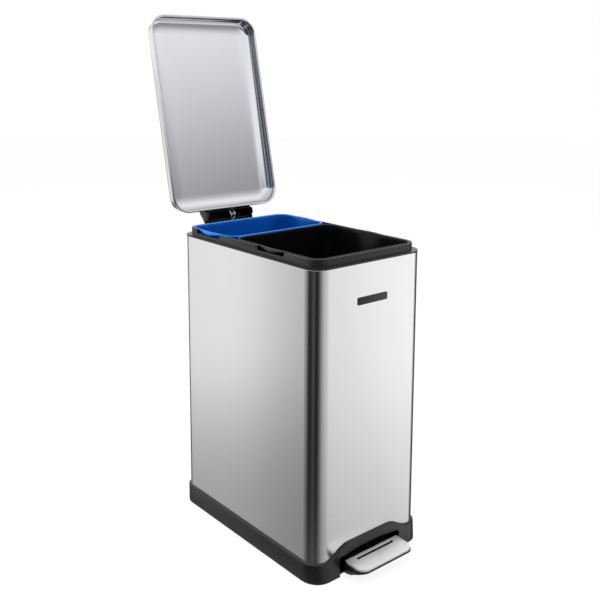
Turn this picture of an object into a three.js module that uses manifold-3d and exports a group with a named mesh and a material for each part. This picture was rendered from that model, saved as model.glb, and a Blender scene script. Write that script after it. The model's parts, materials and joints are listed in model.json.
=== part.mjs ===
// A double recycling bin with a steel body, a foot pedal and a hinged lid.
// Millimetres, +Z up, front at -Y. Origin: on the floor, under the middle of the body.
// The lid stands open, and the pedal is down, as in the reference photograph.
import * as THREE from 'three';
import { mergeVertices } from 'three/addons/utils/BufferGeometryUtils.js';
import Module from 'manifold-3d';

const wasm = await Module();
wasm.setup();

// ---------- driving dimensions ----------

const gap = 0.3; // between pieces that touch

// steel body
const bodyWidth = 262;
const bodyDepth = 409;
const bodyTop = 560;
const bodyRadius = 30;
const sheet = 0.8;

// base moulding and the cover under it
const baseProud = 4;
const frontFlare = 3;
const baseHeight = 36.5;
const baseWall = 2.5;
const ledgeHeight = 20;
const deckHeight = 50;
const humpRise = 20;
const humpFlat = 50;
const humpFoot = 106;
const coverThickness = 3;
const bossRadius = 5;
const pilotDepth = 16;
const padRadius = 13;
const padThickness = 1.2;
const footInset = 32;
const screwInset = 62;

// pedal opening in the base
const openingHalf = 75;
const openingTop = 41.5;
const openingSag = 5.5;
const openingShoulder = 4;
const openingMargin = 4; // to the steel around it
const openingDepth = 20;

// collar that carries the buckets' rims
const flangeProud = 0.5;
const flangeHeight = 2.7;
const ringInset = 7;
const ringHeight = 13.5;
const ringWall = 3;
const ringRadius = 29;
const skirtDepth = 15;
const notchLength = 76;
const notchDepth = 8;

// buckets
const bucketWall = 1.8;
const bucketTaper = 5;
const bucketRadius = 22;
const bucketClearance = 2;
const rimAboveRing = 1;
const lipThickness = 2.2;
const lipReach = 4.6;
const lipLength = 100;
const blueLength = 144;
const bucketSpacing = 4;

// lid and hinge
const lidWidth = 261.4;
const lidLength = 408.4;
const lidRadius = 36;
const lidHeight = 23;
const lidInset = 1;
const lidRimAboveFlange = 6;
const beadRadius = 2.5;
const hingeBehindBody = 21.1;
const hingeAboveRim = 4.3;
const openAngle = 102.1;
const hoodWidth = 114;
const hoodWall = 2.2;
const hoodDrop = 11;
const hoodRise = 21.5;
const hingeShell = 7.4;
const pinRadius = 2.5;
const pinHead = 1.6; // how far a pin's head stands out round it
const earRadius = 4.8;
const earWall = 3;
const earDrop = 24;
const plateThickness = 3;
const plateHeight = 68;

// lift linkage
const rodRadius = 2;
const rodOffset = 9.2; // the rod's line in front of the hinge axis
const rodInside = 9; // the rod's line inside the body's rear wall
const rodPlay = 0.5; // in the guides
const guideWidth = 16;
const guideHeight = 12;
const guideWall = 2;
const rodJog = 24; // the jog, below the top of the body
const clipThickness = 1.2;
const leverX = 4; // from the rod's line to the lever
const leverThickness = 2.5;
const leverEdge = 2.3; // of metal round its slot
const slotPlay = 2.1;
const pedalPinRadius = 3;
const pedalPivot = 79.5; // behind the body's front face
const pivotHeight = 24.6;
const barWidth = 24;
const barHeight = 8;
const barWall = 2;

// pedal
const treadWidth = 128.6;
const treadLength = 44.5;
const treadRadius = 17;
const treadTop = 8.3; // above the pedal's pivot
const treadSheet = 2;
const treadLip = 4.3;
const trayRim = 1.8;
const trayDepth = 23;
const neckWidth = 112;
const pedalClearance = 1.2;
const slotWidth = 5.4;
const slotLength = 91;

// bare badge plate
const badgeWidth = 71.5;
const badgeHeight = 13.5;
const badgeThickness = 0.8;
const badgeRadius = 2.5;
const badgeBelowTop = 66;

// screws, rivets and their holes
const screwRadius = 2;
const screwHole = 2.3;
const screwHead = 4.1;
const sinkRadius = 4.5;
const sinkDepth = 1.8;
const rivetRadius = 1.6;
const rivetHead = 2.6;
const headHeight = 1.2;
const trayScrew = 1.8;
const trayScrewHead = 3.6;

// ---------- places worked out from them ----------

const front = -bodyDepth / 2;
const rear = bodyDepth / 2;
const innerRear = rear - sheet;
const flangeTop = bodyTop + gap + flangeHeight;
const ringTop = flangeTop + ringHeight;
const rimTop = ringTop + rimAboveRing;
const deckUnder = deckHeight - baseWall;
const radians = THREE.MathUtils.degToRad;
const halfOpen = radians(openAngle) / 2;
const lidRear = rear - lidInset;
const lidRim = flangeTop + lidRimAboveFlange;
const axisY = rear + hingeBehindBody;
const axisZ = lidRim + hingeAboveRim;
const rodTravel = 2 * rodOffset * Math.tan(halfOpen);
const rodTopY = axisY - rodOffset;
const rodTopZ = axisZ + rodTravel / 2;
const rodY = innerRear - rodInside;
const pivotY = front + pedalPivot;
const rearArm = rodY - pivotY;
const pedalHalfTurn = Math.asin(rodTravel / 2 / rearArm);
const rodFootZ = pivotHeight + rearArm * Math.sin(pedalHalfTurn);

// ---------- shape helpers ----------

// Outline of a rounded rectangle, anticlockwise from above, its straight runs split on request.
function roundedOutline(width, depth, radius, runsX = 1, runsY = 1, cornerSteps = 6) {
  const x = width / 2 - radius;
  const y = depth / 2 - radius;
  const centres = [[x, y], [-x, y], [-x, -y], [x, -y]];
  const cornerPoint = (index, step) => {
    const [cx, cy] = centres[index % 4];
    const angle = (index % 4 + step / cornerSteps) * Math.PI / 2;
    return new THREE.Vector2(cx + radius * Math.cos(angle), cy + radius * Math.sin(angle));
  };
  const points = [];
  for (let index = 0; index < 4; index++) {
    for (let step = 0; step <= cornerSteps; step++) points.push(cornerPoint(index, step));
    const start = cornerPoint(index, cornerSteps);
    const end = cornerPoint(index + 1, 0);
    const runs = index % 2 === 0 ? runsX : runsY;
    for (let run = 1; run < runs; run++) points.push(start.clone().lerp(end, run / runs));
  }
  return points;
}

// Points of an arc, in degrees, both ends included.
function arc(cx, cy, radius, from, to, steps) {
  const points = [];
  for (let step = 0; step <= steps; step++) {
    const angle = radians(from + (to - from) * step / steps);
    points.push(new THREE.Vector2(cx + radius * Math.cos(angle), cy + radius * Math.sin(angle)));
  }
  return points;
}

// A skin through rings of equal length: closed on itself, or capped flat at both ends.
function loft(rings, closed) {
  const count = rings[0].length;
  const positions = rings.flat().flatMap((point) => [point.x, point.y, point.z]);
  const faces = [];
  const last = closed ? rings.length : rings.length - 1;
  for (let ring = 0; ring < last; ring++) {
    const here = ring * count;
    const next = (ring + 1) % rings.length * count;
    for (let point = 0; point < count; point++) {
      const beside = (point + 1) % count;
      faces.push(here + point, here + beside, next + beside);
      faces.push(here + point, next + beside, next + point);
    }
  }
  const top = (rings.length - 1) * count;
  for (let point = 1; !closed && point < count - 1; point++) {
    faces.push(0, point + 1, point);
    faces.push(top, top + point, top + point + 1);
  }
  const geometry = new THREE.BufferGeometry();
  geometry.setAttribute('position', new THREE.Float32BufferAttribute(positions, 3));
  geometry.setIndex(faces);
  return geometry;
}

function signedVolume(geometry) {
  const corners = [new THREE.Vector3(), new THREE.Vector3(), new THREE.Vector3()];
  let volume = 0;
  for (let index = 0; index < geometry.index.count; index += 3) {
    corners.forEach((corner, k) => {
      corner.fromBufferAttribute(geometry.attributes.position, geometry.index.getX(index + k));
    });
    volume += corners[0].dot(corners[1].cross(corners[2])) / 6;
  }
  return volume;
}

// A three.js geometry as a solid with its faces pointing out.
function solid(source) {
  const geometry = source.clone();
  geometry.deleteAttribute('normal');
  geometry.deleteAttribute('uv');
  const welded = mergeVertices(geometry, 1e-4);
  const triangles = Uint32Array.from(welded.index.array);
  if (signedVolume(welded) < 0) {
    for (let index = 0; index < triangles.length; index += 3) {
      [triangles[index], triangles[index + 1]] = [triangles[index + 1], triangles[index]];
    }
  }
  return new wasm.Manifold(new wasm.Mesh({
    numProp: 3,
    vertProperties: Float32Array.from(welded.attributes.position.array),
    triVerts: triangles,
  }));
}

function joined(...parts) {
  return parts.reduce((whole, part) => whole.add(part));
}

function cutAway(whole, ...cuts) {
  return cuts.reduce((left, cut) => left.subtract(cut), whole);
}

function geometryOf(shape) {
  const mesh = shape.getMesh();
  const geometry = new THREE.BufferGeometry();
  geometry.setAttribute('position', new THREE.Float32BufferAttribute(mesh.vertProperties, 3));
  geometry.setIndex(Array.from(mesh.triVerts));
  const faceted = geometry.toNonIndexed();
  faceted.computeVertexNormals();
  return faceted;
}

function box(x0, x1, y0, y1, z0, z1) {
  const geometry = new THREE.BoxGeometry(x1 - x0, y1 - y0, z1 - z0);
  geometry.translate((x0 + x1) / 2, (y0 + y1) / 2, (z0 + z1) / 2);
  return solid(geometry);
}

// An outline in x and y, raised from z0 to z1.
function prism(points, z0, z1) {
  const geometry = new THREE.ExtrudeGeometry(new THREE.Shape(points), {
    depth: z1 - z0,
    bevelEnabled: false,
  });
  geometry.translate(0, 0, z0);
  return solid(geometry);
}

// An outline in y and z, drawn across from x0 to x1.
function crossPrism(points, x0, x1) {
  const geometry = new THREE.ExtrudeGeometry(new THREE.Shape(points), {
    depth: x1 - x0,
    bevelEnabled: false,
  });
  geometry.applyMatrix4(new THREE.Matrix4().set(0, 0, 1, x0, 1, 0, 0, 0, 0, 1, 0, 0, 0, 0, 0, 1));
  return solid(geometry);
}

// An outline in x and z, drawn back from y0 to y1.
function frontPrism(points, y0, y1) {
  const geometry = new THREE.ExtrudeGeometry(new THREE.Shape(points), {
    depth: y1 - y0,
    bevelEnabled: false,
  });
  geometry.applyMatrix4(new THREE.Matrix4().set(1, 0, 0, 0, 0, 0, -1, y1, 0, 1, 0, 0, 0, 0, 0, 1));
  return solid(geometry);
}

// A plate of rounded outline that is `offset` larger all round than the steel body.
function bodyPlate(offset, z0, z1) {
  return prism(bodyOutline(offset), z0, z1);
}

function bodyOutline(offset) {
  const grow = 2 * offset;
  return roundedOutline(bodyWidth + grow, bodyDepth + grow, bodyRadius + offset);
}

// A cylinder of outline radius r that runs along one axis, from one end to the other.
function rod(axis, radius, from, to, a, b, sides = 20) {
  const geometry = new THREE.CylinderGeometry(radius, radius, to - from, sides);
  const middle = (from + to) / 2;
  if (axis === 'x') {
    geometry.rotateZ(Math.PI / 2);
    geometry.translate(middle, a, b);
  } else if (axis === 'y') {
    geometry.translate(a, middle, b);
  } else {
    geometry.rotateX(Math.PI / 2);
    geometry.translate(a, b, middle);
  }
  return solid(geometry);
}

// The polyline of a bent wire, each corner rounded to the bend radius.
function bentLine(corners, bend, steps) {
  const points = [corners[0]];
  for (let index = 1; index < corners.length - 1; index++) {
    const corner = corners[index];
    const back = corners[index - 1].clone().sub(corner).setLength(bend);
    const ahead = corners[index + 1].clone().sub(corner).setLength(bend);
    const centre = corner.clone().add(back).add(ahead);
    for (let step = 0; step <= steps; step++) {
      const angle = step / steps * Math.PI / 2;
      const point = centre.clone();
      point.addScaledVector(ahead, -Math.cos(angle));
      point.addScaledVector(back, -Math.sin(angle));
      points.push(point);
    }
  }
  points.push(corners.at(-1));
  return points;
}

// A path that keeps a wire's own points, with mitred joints.
class WirePath extends THREE.Curve {
  constructor(points) {
    super();
    this.points = points;
  }

  getUtoTmapping(u) {
    return u;
  }

  getPoint(t) {
    const place = t * (this.points.length - 1);
    const index = Math.min(Math.floor(place), this.points.length - 2);
    return this.points[index].clone().lerp(this.points[index + 1], place - index);
  }

  getTangent(t) {
    const index = Math.round(t * (this.points.length - 1));
    const before = this.points[Math.max(index - 1, 0)];
    const here = this.points[index];
    const after = this.points[Math.min(index + 1, this.points.length - 1)];
    const arriving = here.clone().sub(before).normalize();
    return arriving.add(after.clone().sub(here).normalize()).normalize();
  }
}

function wire(points, radius, sides = 10) {
  const section = new THREE.Shape(arc(0, 0, radius, 0, 360 * (sides - 1) / sides, sides - 1));
  return solid(new THREE.ExtrudeGeometry(section, {
    steps: points.length - 1,
    extrudePath: new WirePath(points),
  }));
}

// ---------- materials ----------

const brushedSteel = () => new THREE.MeshStandardMaterial({ color: 0xc9cacc, roughness: 0.3, metalness: 1 });
const polishedSteel = () => new THREE.MeshStandardMaterial({ color: 0xd4d5d7, roughness: 0.15, metalness: 1 });
const blackPlastic = () => new THREE.MeshStandardMaterial({ color: 0x1b1c1e, roughness: 0.45 });
const greyRubber = () => new THREE.MeshStandardMaterial({ color: 0x2b2b2d, roughness: 0.9 });
const bluePlastic = () => new THREE.MeshStandardMaterial({ color: 0x0b4fb5, roughness: 0.4 });

function named(name, shape, material) {
  const mesh = new THREE.Mesh(geometryOf(shape), material);
  mesh.name = name;
  return mesh;
}

// ---------- body ----------

function makeOuterBody() {
  const sleeveFoot = ledgeHeight + gap;
  const outside = bodyPlate(0, sleeveFoot, bodyTop);
  const inside = bodyPlate(-sheet, sleeveFoot - 1, bodyTop + 1);
  const pedalCut = openingHalf + openingMargin;
  return cutAway(
    outside,
    inside,
    box(-pedalCut, pedalCut, front - 5, front + openingDepth, 0, openingTop + openingMargin),
    rodWindow(),
    ...bracketScrewHoles(),
  );
}

// The front edge of the base swells up over the pedal.
function hump(x) {
  const across = THREE.MathUtils.clamp((Math.abs(x) - humpFlat) / (humpFoot - humpFlat), 0, 1);
  return humpRise * (1 + Math.cos(Math.PI * across)) / 2;
}

function skirtRing(offset, height, flare, withHump) {
  const grow = 2 * offset;
  const outline = roundedOutline(bodyWidth + grow, bodyDepth + grow, bodyRadius + offset, 24, 1);
  return outline.map(({ x, y }) => {
    const isFront = y < front + bodyRadius;
    const lift = isFront && withHump ? hump(x) : 0;
    const push = isFront ? flare * Math.min(1, (front + bodyRadius - y) / bodyRadius) : 0;
    return new THREE.Vector3(x, y - push, height + lift);
  });
}

function makeBase() {
  const ease = 1.2;
  const skirt = solid(loft([
    skirtRing(gap, ledgeHeight - baseWall, 0, false),
    skirtRing(gap, baseHeight, 0, true),
    skirtRing(baseProud - ease, baseHeight, 0, true),
    skirtRing(baseProud, baseHeight - ease, 0.3, true),
    skirtRing(baseProud, ease, frontFlare, false),
    skirtRing(baseProud - ease, 0, frontFlare, false),
    skirtRing(gap, 0, 0, false),
  ], true));
  const columnOffset = -sheet - gap;
  const ledge = cutAway(
    bodyPlate(baseProud / 2, ledgeHeight - baseWall, ledgeHeight),
    bodyPlate(columnOffset - baseWall, 0, deckHeight),
  );
  const column = cutAway(
    bodyPlate(columnOffset, ledgeHeight - baseWall, deckHeight),
    bodyPlate(columnOffset - baseWall, 0, deckUnder),
  );
  const bosses = coverScrewPlaces().map(([x, y]) => {
    return rod('z', bossRadius, coverThickness + gap, deckUnder + 1, x, y);
  });
  const pilots = coverScrewPlaces().map(([x, y]) => rod('z', screwHole, 0, pilotDepth, x, y, 12));
  const arch = [
    new THREE.Vector2(-openingHalf, -5),
    new THREE.Vector2(openingHalf, -5),
    new THREE.Vector2(openingHalf, openingTop - openingSag - openingShoulder),
    ...archTop(),
    new THREE.Vector2(-openingHalf, openingTop - openingSag - openingShoulder),
  ];
  const rodHole = rodRadius + 2;
  return cutAway(
    joined(skirt, ledge, column, ...bosses),
    frontPrism(arch, front - openingDepth, front + openingDepth),
    box(-rodHole, rodHole, rodY - rodHole, rodY + rodHole, deckUnder - 1, deckHeight + 1),
    ...pilots,
  );
}

// The gently bowed top of the pedal opening, from right to left.
function archTop() {
  const steps = 12;
  const reach = openingHalf - openingShoulder;
  return Array.from({ length: steps + 1 }, (_, step) => {
    const across = 1 - 2 * step / steps;
    return new THREE.Vector2(reach * across, openingTop - openingSag * across * across);
  });
}

function footPlaces(inset) {
  const x = bodyWidth / 2 - inset;
  const y = bodyDepth / 2 - inset;
  return [[-x, -y], [x, -y], [-x, y], [x, y]];
}

function coverScrewPlaces() {
  return footPlaces(screwInset);
}

function pedalRivetPlaces() {
  const reach = barWidth / 2 + 12;
  return [[-reach, pivotY], [reach, pivotY]];
}

function makeBottomCover() {
  const pockets = footPlaces(footInset).map(([x, y]) => {
    return rod('z', padRadius + gap, -1, padThickness + gap, x, y, 24);
  });
  const holes = [...coverScrewPlaces(), ...pedalRivetPlaces()].map(([x, y]) => {
    return rod('z', screwHole, -1, coverThickness + 1, x, y, 12);
  });
  const sinks = coverScrewPlaces().map(([x, y]) => rod('z', sinkRadius, -1, sinkDepth, x, y, 16));
  return cutAway(bodyPlate(0, 0, coverThickness), ...pockets, ...holes, ...sinks);
}

function makeCoverScrew([x, y]) {
  const seat = sinkDepth - gap;
  return joined(
    rod('z', screwRadius, seat - 1, pilotDepth - 2, x, y, 12),
    rod('z', screwHead, seat - headHeight, seat, x, y, 16),
  );
}

function makeGripPad([x, y]) {
  return rod('z', padRadius, 0, padThickness, x, y, 24);
}

function makeBadge() {
  const middle = bodyTop - badgeBelowTop;
  const outline = roundedOutline(badgeWidth, badgeHeight, badgeRadius, 1, 1, 4);
  const raised = outline.map(({ x, y }) => new THREE.Vector2(x, y + middle));
  return frontPrism(raised, front - gap - badgeThickness, front - gap);
}

// ---------- collar and buckets ----------

const ringOutside = ringInset + flangeProud;
const wellWidth = bodyWidth - 2 * (ringOutside + ringWall);
const wellDepth = bodyDepth - 2 * (ringOutside + ringWall);
const bucketWidth = wellWidth - 2 * bucketClearance;
const blackLength = wellDepth - 2 * bucketClearance - bucketSpacing - blueLength;
const blueCentre = wellDepth / 2 - bucketClearance - blueLength / 2;
const blackCentre = -wellDepth / 2 + bucketClearance + blackLength / 2;

// A plate with the collar ring's outline, `inset` inside its outer wall.
function ringPlate(inset, z0, z1) {
  const shrink = 2 * (ringOutside + inset);
  return prism(roundedOutline(bodyWidth - shrink, bodyDepth - shrink, ringRadius - inset), z0, z1);
}

function makeCollar() {
  const well = ringPlate(ringWall, bodyTop - skirtDepth - 1, ringTop + 1);
  const flange = bodyPlate(flangeProud, bodyTop + gap, flangeTop);
  const ring = ringPlate(0, bodyTop + gap, ringTop);
  const skirtOffset = -sheet - 2 * gap;
  const skirt = cutAway(
    bodyPlate(skirtOffset, bodyTop - skirtDepth, flangeTop - 1),
    bodyPlate(skirtOffset - ringWall, bodyTop - skirtDepth - 1, bodyTop + gap),
  );
  const notches = [blueCentre, blackCentre].map((y) => {
    const half = notchLength / 2;
    return box(-bodyWidth, bodyWidth, y - half, y + half, ringTop - notchDepth, ringTop + 1);
  });
  return cutAway(joined(flange, ring, skirt), well, ...notches);
}

// How far the rim swells sideways into the finger lip.
function lipSwell(y) {
  const along = Math.min(1, Math.abs(y) / (lipLength / 2));
  return lipReach * (1 + Math.cos(Math.PI * along)) / 2;
}

function bucketRing(depth, centre, inset, height, swell) {
  const outline = roundedOutline(
    bucketWidth - 2 * inset,
    depth - 2 * inset,
    Math.max(bucketRadius - inset, 3),
    1,
    16,
    5,
  );
  return outline.map(({ x, y }) => {
    return new THREE.Vector3(x + Math.sign(x) * swell * lipSwell(y), y + centre, height);
  });
}

function makeBucket(depth, centre) {
  const foot = deckHeight + gap;
  const shoulder = rimTop - 8;
  const bottom = bucketTaper + 2;
  const rim = 2.4;
  const ring = (inset, height, swell = 0) => bucketRing(depth, centre, inset, height, swell);
  return solid(loft([
    ring(bottom + bucketWall + 4, foot + bucketWall + 1),
    ring(bottom + bucketWall, foot + bucketWall + 5),
    ring(rim + bucketWall, shoulder),
    ring(rim + bucketWall - 0.6, rimTop - 1.4, 0.75),
    ring(bucketWall, rimTop - 0.2, 0.95),
    ring(1.0, rimTop, 1),
    ring(0, rimTop - 0.8, 1.4),
    ring(0, rimTop - lipThickness, 1.4),
    ring(1.2, rimTop - lipThickness, 0.7),
    ring(rim, shoulder),
    ring(bottom, foot + 4),
    ring(bottom + 4, foot),
  ], false));
}

// ---------- lid ----------

// The lid's outline, `inset` inside its rim, with the lid closed.
function lidRing(inset, height) {
  const outline = roundedOutline(lidWidth - 2 * inset, lidLength - 2 * inset, lidRadius - inset, 1, 1, 8);
  const centre = lidRear - lidLength / 2;
  return outline.map(({ x, y }) => new THREE.Vector3(x, y + centre, lidRim + height));
}

const lidWallInset = 3;
const lidDraft = 0.3;

function makeLidPan() {
  const top = lidHeight;
  const wall = lidWallInset;
  const bead = beadRadius;
  return cutAway(solid(loft([
    lidRing(wall + sheet + 7, top - sheet),
    lidRing(wall + sheet + 2.6, top - sheet - 1.4),
    lidRing(wall + sheet + lidDraft, top - 6.5),
    lidRing(wall + sheet, 1.6),
    lidRing(2 * bead, 0),
    lidRing(2 * bead - 0.75, -1.8),
    lidRing(bead, -bead),
    lidRing(0.75, -1.8),
    lidRing(0, 0),
    lidRing(0.75, 1.8),
    lidRing(bead, bead),
    lidRing(wall, bead + 0.2),
    lidRing(wall + lidDraft, top - 6),
    lidRing(wall + 2.2, top - 1.6),
    lidRing(wall + 7, top),
  ], false)), ...lidRivetHoles());
}

// y and z in the hinge cover's outline are counted from the hinge axis, with the lid closed.
const flangeFront = lidRear - lidWallInset + gap + 0.2 - axisY;
const beadBack = lidRear - axisY;
const beadTop = lidRim + beadRadius - axisZ;

function fromAxis(points) {
  return points.map(([y, z]) => new THREE.Vector2(axisY + y, axisZ + z));
}

function hoodProfile(inset) {
  const clear = 0.6; // of the lid's bead
  const chinStep = 5;
  const chinHeight = 8;
  const shoulderBack = 1.2;
  const shoulderDrop = 9.2;
  const browLength = 8;
  const browDrop = 3;
  const shell = hingeShell - inset;
  const foot = -hoodDrop - (inset ? 10 : 0); // the inside runs on past the foot
  const crown = hoodRise - inset;
  return [
    ...fromAxis([
      [flangeFront + inset, beadTop + clear],
      [beadBack + clear + inset, beadTop + clear],
      [beadBack + clear + inset, chinHeight - hoodDrop],
      [beadBack + chinStep + inset, foot],
      [-shell, foot],
    ]),
    ...arc(axisY, axisZ, shell, 235, 430, 12),
    ...fromAxis([
      [-hingeShell - shoulderBack, crown - shoulderDrop],
      [flangeFront + browLength, crown - browDrop],
      [flangeFront + inset, crown],
    ]),
  ];
}

function makeHingeCover() {
  const half = hoodWidth / 2;
  const inner = half - hoodWall;
  const outside = crossPrism(hoodProfile(0), -half, half);
  const inside = crossPrism(hoodProfile(hoodWall), -inner, inner);
  const reach = hingeShell + 4;
  const shellEnd = radians(12);
  const openSide = crossPrism(fromAxis([
    [0, 0],
    [reach * Math.cos(shellEnd), reach * Math.sin(shellEnd)],
    [reach, -reach * 2],
    [beadBack + 3.4, -reach * 2],
    [beadBack + 3.4, 0],
  ]), -inner, inner);
  return cutAway(
    outside,
    inside,
    openSide,
    rod('x', pinRadius + gap, -half - 1, half + 1, axisY, axisZ),
    ...lidRivetHoles(),
  );
}

function lidRivetPlaces() {
  const spread = hoodWidth / 2 - 14;
  const height = lidRim + lidHeight / 2 - 1.5;
  const leverRivetX = 14;
  const apart = 3.5;
  return [
    [-spread, height],
    [leverRivetX, height - apart],
    [leverRivetX, height + apart],
    [spread, height],
  ];
}

function lidRivetHoles() {
  return lidRivetPlaces().map(([x, z]) => rod('y', rivetRadius + gap, lidRear - 8, lidRear + 4, x, z, 12));
}

function makeLidRivet([x, z], grip) {
  const inside = lidRear - lidWallInset - sheet - lidDraft - gap;
  const outside = axisY + flangeFront + grip + gap;
  return joined(
    rod('y', rivetRadius, inside - 0.8, outside + 0.8, x, z, 12),
    rod('y', rivetHead, inside - headHeight, inside, x, z, 16),
    rod('y', rivetHead, outside, outside + headHeight, x, z, 16),
  );
}

// The lever that the push rod lifts: hub, slotted arm and a foot on the lid's rear wall.

function leverSlot(width, from, to) {
  const direction = radians(180) + halfOpen;
  const along = new THREE.Vector2(Math.cos(direction), Math.sin(direction));
  const place = (reach) => new THREE.Vector2(axisY, axisZ).addScaledVector(along, reach);
  const turn = THREE.MathUtils.radToDeg(direction);
  const near = place(from);
  const far = place(to);
  return [
    ...arc(near.x, near.y, width / 2, turn + 90, turn + 270, 8),
    ...arc(far.x, far.y, width / 2, turn - 90, turn + 90, 8),
  ];
}

function makeLidLever() {
  const slotFrom = rodOffset - 0.4;
  const slotTo = rodOffset / Math.cos(halfOpen) + 0.4;
  const slotHeight = 2 * (rodRadius + slotPlay);
  const arm = crossPrism(leverSlot(slotHeight + 2 * leverEdge, slotFrom, slotTo), leverX, leverX + leverThickness);
  const neck = crossPrism(leverSlot(2 * earRadius, 0, slotTo), leverX, leverX + leverThickness);
  const slot = crossPrism(leverSlot(slotHeight, slotFrom, slotTo), leverX - 1, leverX + leverThickness + 1);
  const footBack = flangeFront + hoodWall + gap;
  const footLow = 0;
  const footHigh = 12.8;
  const footWidth = 16;
  const web = crossPrism(fromAxis([
    [footBack, footLow],
    [-2, -earRadius + 0.6],
    [2, earRadius - 1.2],
    [footBack, footHigh],
  ]), leverX, leverX + leverThickness);
  const foot = crossPrism(fromAxis([
    [footBack, footLow],
    [footBack + leverThickness, footLow],
    [footBack + leverThickness, footHigh],
    [footBack, footHigh],
  ]), leverX, leverX + footWidth);
  return cutAway(
    joined(arm, neck, web, foot),
    slot,
    rod('x', pinRadius + gap, leverX - 1, leverX + leverThickness + 1, axisY, axisZ),
    ...lidRivetPlaces().slice(1, 3).map(([x, z]) => rod('y', rivetRadius + gap, lidRear, axisY, x, z, 12)),
  );
}

// ---------- hinge bracket ----------

const plateFront = rear + gap;
const plateBack = plateFront + plateThickness;
const plateTop = bodyTop - 0.2;
const plateFoot = plateTop - plateHeight;
const jogZ = bodyTop - rodJog;
const earHalf = hoodWidth / 2 - hoodWall - 5.5;

function bracketScrewPlaces() {
  const x = earHalf - earWall - 6;
  return [[-x, plateFoot + 10], [x, plateFoot + 10], [-x, plateTop - 18], [x, plateTop - 18]];
}

function bracketScrewHoles() {
  return bracketScrewPlaces().map(([x, z]) => rod('y', screwHole, rear - 10, plateBack + 1, x, z, 12));
}

function makeBracketScrew([x, z]) {
  return joined(
    rod('y', screwRadius, rear - 5, plateBack + 1, x, z, 12),
    rod('y', screwHead, plateBack + gap, plateBack + 2 * headHeight, x, z, 16),
  );
}

// The slot in the rear wall that the rod's jog slides in.
function rodWindow() {
  const side = rodRadius + 1.4;
  return box(-side, side, rear - 8, plateBack + 1, jogZ - rodTravel - side, jogZ + side);
}

function makeHingeBracket() {
  const ear = [
    new THREE.Vector2(plateFront + 1, axisZ - earDrop),
    new THREE.Vector2(plateBack, axisZ - earDrop),
    ...arc(axisY, axisZ, earRadius, -90, 105, 11),
    new THREE.Vector2(axisY - 12, axisZ - 1.6),
    new THREE.Vector2(plateBack, plateTop),
    new THREE.Vector2(plateFront + 1, plateTop),
  ];
  const channel = rodRadius + 3;
  const channelTop = jogZ + 4;
  const channelBack = rodTopY + rodRadius + 1.3;
  const walls = cutAway(
    box(-channel - 2, channel + 2, plateFront + 1, channelBack + 2, plateFoot, channelTop),
    box(-channel, channel, plateFront, channelBack, plateFoot + 2, channelTop + 1),
  );
  return cutAway(
    joined(
      box(-earHalf, earHalf, plateFront, plateBack, plateFoot, plateTop),
      crossPrism(ear, -earHalf, -earHalf + earWall),
      crossPrism(ear, earHalf - earWall, earHalf),
      walls,
    ),
    rodWindow(),
    rod('x', pinRadius + gap, -earHalf - 1, earHalf + 1, axisY, axisZ),
    ...bracketScrewHoles(),
  );
}

function makeHingePin() {
  const half = hoodWidth / 2;
  return joined(
    rod('x', pinRadius, -half - 1.5, half + 2.4, axisY, axisZ),
    rod('x', pinRadius + pinHead, -half - 1.8, -half - gap, axisY, axisZ),
  );
}

function makePinClip() {
  const side = hoodWidth / 2 + gap;
  return cutAway(
    rod('x', pinRadius + pinHead, side, side + clipThickness, axisY, axisZ),
    rod('x', pinRadius + gap, side - 1, side + 3, axisY, axisZ),
  );
}

// ---------- push rod ----------

const rodPinEnd = leverX + leverThickness + 3.4;
const rodFootEnd = barWidth / 2 + 3.6;

function makePushRod() {
  const corners = [
    new THREE.Vector3(rodPinEnd, rodTopY, rodTopZ),
    new THREE.Vector3(0, rodTopY, rodTopZ),
    new THREE.Vector3(0, rodTopY, jogZ),
    new THREE.Vector3(0, rodY, jogZ),
    new THREE.Vector3(0, rodY, rodFootZ),
    new THREE.Vector3(rodFootEnd, rodY, rodFootZ),
  ];
  const bend = leverX - 0.5;
  return wire(bentLine(corners, bend, 4), rodRadius);
}

function makeRodClip() {
  const side = leverX + leverThickness + 0.8;
  return cutAway(
    rod('x', rodRadius + pinHead + 0.8, side, side + clipThickness, rodTopY, rodTopZ, 16),
    rod('x', rodRadius + gap, side - 1, side + 3, rodTopY, rodTopZ, 16),
  );
}

function makeRodGuide(height) {
  const half = guideWidth / 2;
  const low = height - guideHeight / 2;
  const high = height + guideHeight / 2;
  return cutAway(
    box(-half, half, rodY - rodRadius - guideWall, innerRear - gap, low, high),
    rod('z', rodRadius + rodPlay, low - 1, high + 1, 0, rodY, 16),
  );
}

// ---------- pedal ----------

// The pedal is drawn level, with y and z counted from its pivot, and then turned down.
const pedalGroup = new THREE.Group();
pedalGroup.position.set(0, pivotY, pivotHeight);
pedalGroup.rotation.x = pedalHalfTurn;
const treadBack = -pedalPivot - baseProud - frontFlare - pedalClearance;
const pedalScrews = [treadBack - 6, treadBack - 16];

// The outline of the tread grown by `offset`, square at the back and round at the front.
function treadOutline(offset) {
  const half = treadWidth / 2 + offset;
  const frontEdge = treadBack - treadLength - offset;
  const radius = treadRadius + offset;
  return [
    new THREE.Vector2(half, treadBack),
    new THREE.Vector2(-half, treadBack),
    ...arc(-half + radius, frontEdge + radius, radius, 180, 270, 7),
    ...arc(half - radius, frontEdge + radius, radius, 270, 360, 7),
  ];
}

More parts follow.
